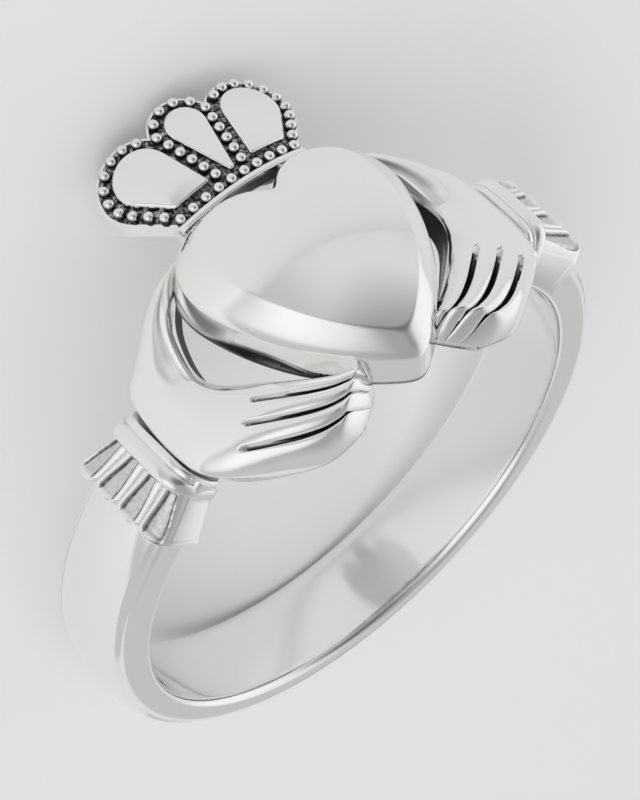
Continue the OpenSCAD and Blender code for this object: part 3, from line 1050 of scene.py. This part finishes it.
valleyTurn = math.radians(beadRows["valley"])
valley = midCentre + midRadius * Vector((math.cos(valleyTurn), math.sin(valleyTurn)))
slantRow = line(slantStart, valley, beadsAlong((valley - slantStart).length))
lobeEnd = Vector((baseX, baseY))
lobeEndTurn = touchTurn(lobeEnd, lobeCentre, lobeRadius, -1) - math.pi / 2
touching = lobeCentre + lobeRadius * Vector((math.cos(lobeEndTurn), math.sin(lobeEndTurn)))
lobeStart = math.radians(beadRows["lobeStart"])
lobeBeads = beadsAlong((lobeStart - lobeEndTurn) * lobeRadius)
lobeArc = arc(lobeCentre, lobeRadius, lobeStart, lobeEndTurn, lobeBeads)
lobeLine = line(touching, lobeEnd, beadsAlong((lobeEnd - touching).length))[1:-1]
midTurns = [math.radians(turn) for turn in beadRows["middle"]]
midRow = arc(midCentre, midRadius, *midTurns, beadRows["middleBeads"])
baseRow = line(Vector((-baseX, baseY)), lobeEnd, crown["baseBeads"])
sideRows = slantRow + lobeArc + lobeLine
beadPlaces = baseRow + midRow + sideRows + acrossX(sideRows)

nothingSelected()
bpy.ops.mesh.primitive_uv_sphere_add(
    segments=beadRows["segments"], ring_count=beadRows["rings"], radius=crown["bead"] / 2
)
bead = bpy.context.object
edit(bead)
bpy.ops.mesh.select_all(action="SELECT")
bpy.ops.mesh.bisect(
    plane_co=(0, 0, beadRows["cutAt"]), plane_no=(0, 0, 1), clear_inner=True, use_fill=True
)
bpy.ops.object.mode_set(mode="OBJECT")
tarnish = bead.data.attributes.new("tarnish", "FLOAT", "POINT")
# painted dark reflection of the recess on the beads' lower halves
for corner, stain in zip(bead.data.vertices, tarnish.data):
    stain.value = beadRows["stain"] * (1 - ease(corner.co.z, 0, beadRows["stainTop"]))
beads = []
lift = floorRadius + crown["bead"] * crown["liftShare"]
for place in beadPlaces:
    copy = ownCopy(bead, "bead")
    copy.location = (place.x, place.y, faceCentre + math.sqrt(lift ** 2 - place.x ** 2))
    beads.append(copy)
bpy.data.objects.remove(bead)
nothingSelected()
for copy in beads:
    copy.select_set(True)
bpy.ops.object.transform_apply(location=True, rotation=False, scale=False)
finishPiece(joined(beads, "crownBeads"), [polished])

# Floor, light and camera

floor = {"width": 2.4, "colour": (0.9, 0.9, 0.9, 1), "roughness": 0.6}
nothingSelected()
bpy.ops.mesh.primitive_plane_add(size=floor["width"], location=(0, 0, 0))
floorPlane = bpy.context.object
floorPlane.name = "floor"
paleFloor, paint = newFinish("paleFloor")
paint.node("ShaderNodeOutputMaterial", {}, {"Surface": paint.node(
    "ShaderNodeBsdfPrincipled", {}, {"Base Color": floor["colour"], "Roughness": floor["roughness"]}
)})
floorPlane.data.materials.append(paleFloor)

# A jeweller's light tent: how bright it is at the horizon, at the walls and overhead, and
# between which heights of a direction it changes from each to the next
tent = {
    "horizon": 0.70,
    "walls": 0.72,
    "overhead": 0.48,
    "toWalls": (0.0, 0.4),
    "toOverhead": (0.3, 0.95),
    # feathered boxes and a dark card: bearing (0 in front of the heart, 90 on +X), height and
    # half width in degrees, and what each adds to the tent's walls
    "boxes": [(68, 33, 32, 0.56), (-105, 28, 42, 0.5), (-32, 2, 34, 0.2), (-28, 45, 29, -0.3)],
    "feather": (1.25, 0.35),        # shares of a half width where a box begins, and is full
    "lamps": [
        {"name": "tentLamp", "place": (0.48, 0.06, 1.2), "size": 1.5, "power": 5.4},
        {"name": "sideLamp", "place": (0.14, -0.05, 0.14), "size": 0.12, "power": 0.055},
    ],
}
world = bpy.data.worlds.new("lightTent")
bpy.context.scene.world = world
world.use_nodes = True
sky = Finish(world.node_tree)
toward = sky.node("ShaderNodeTexCoord", {}, {}, "Generated")
height = sky.node("ShaderNodeSeparateXYZ", {}, {0: toward}, "Z")


def climb(value, low, high):
    return sky.node(
        "ShaderNodeMapRange",
        {"interpolation_type": "SMOOTHSTEP"},
        {"Value": value, "From Min": low, "From Max": high},
    )


glow = tent["horizon"] + (tent["walls"] - tent["horizon"]) * climb(height, *tent["toWalls"])
glow = glow + (tent["overhead"] - tent["walls"]) * climb(height, *tent["toOverhead"])
for bearing, rise, half, change in tent["boxes"]:
    a, b = math.radians(bearing), math.radians(rise)
    middle = (math.sin(a) * math.cos(b), -math.cos(a) * math.cos(b), math.sin(b))
    facing = sky.node("ShaderNodeVectorMath", {"operation": "DOT_PRODUCT"}, {0: toward, 1: middle}, "Value")
    edges = [math.cos(math.radians(half * share)) for share in tent["feather"]]
    glow = glow + change * climb(facing, *edges)
shine = sky.node("ShaderNodeBackground", {}, {"Strength": glow})
sky.node("ShaderNodeOutputWorld", {}, {"Surface": shine})

for lamp in tent["lamps"]:
    nothingSelected()
    bpy.ops.object.light_add(type="AREA", location=lamp["place"])
    light = bpy.context.object
    light.name = lamp["name"]
    light.data.size = lamp["size"]
    light.data.energy = lamp["power"]
    light.rotation_euler = (-Vector(lamp["place"])).to_track_quat("-Z", "Y").to_euler()
    light.visible_glossy = False
bpy.context.scene.view_settings.view_transform = "Standard"

camera = {
    "place": (0.0398847, -0.0649295, 0.0746132),
    "turn": (-29.86847, -38.4389, 164.88315),
    "lens": 146.277,
    "sensor": 36,
    "nearest": 0.005,
}
nothingSelected()
bpy.ops.object.camera_add(location=camera["place"], rotation=[math.radians(a) for a in camera["turn"]])
viewpoint = bpy.context.object
viewpoint.name = "camera"
viewpoint.data.lens = camera["lens"]
viewpoint.data.sensor_width = camera["sensor"]
viewpoint.data.clip_start = camera["nearest"]
bpy.context.scene.camera = viewpoint
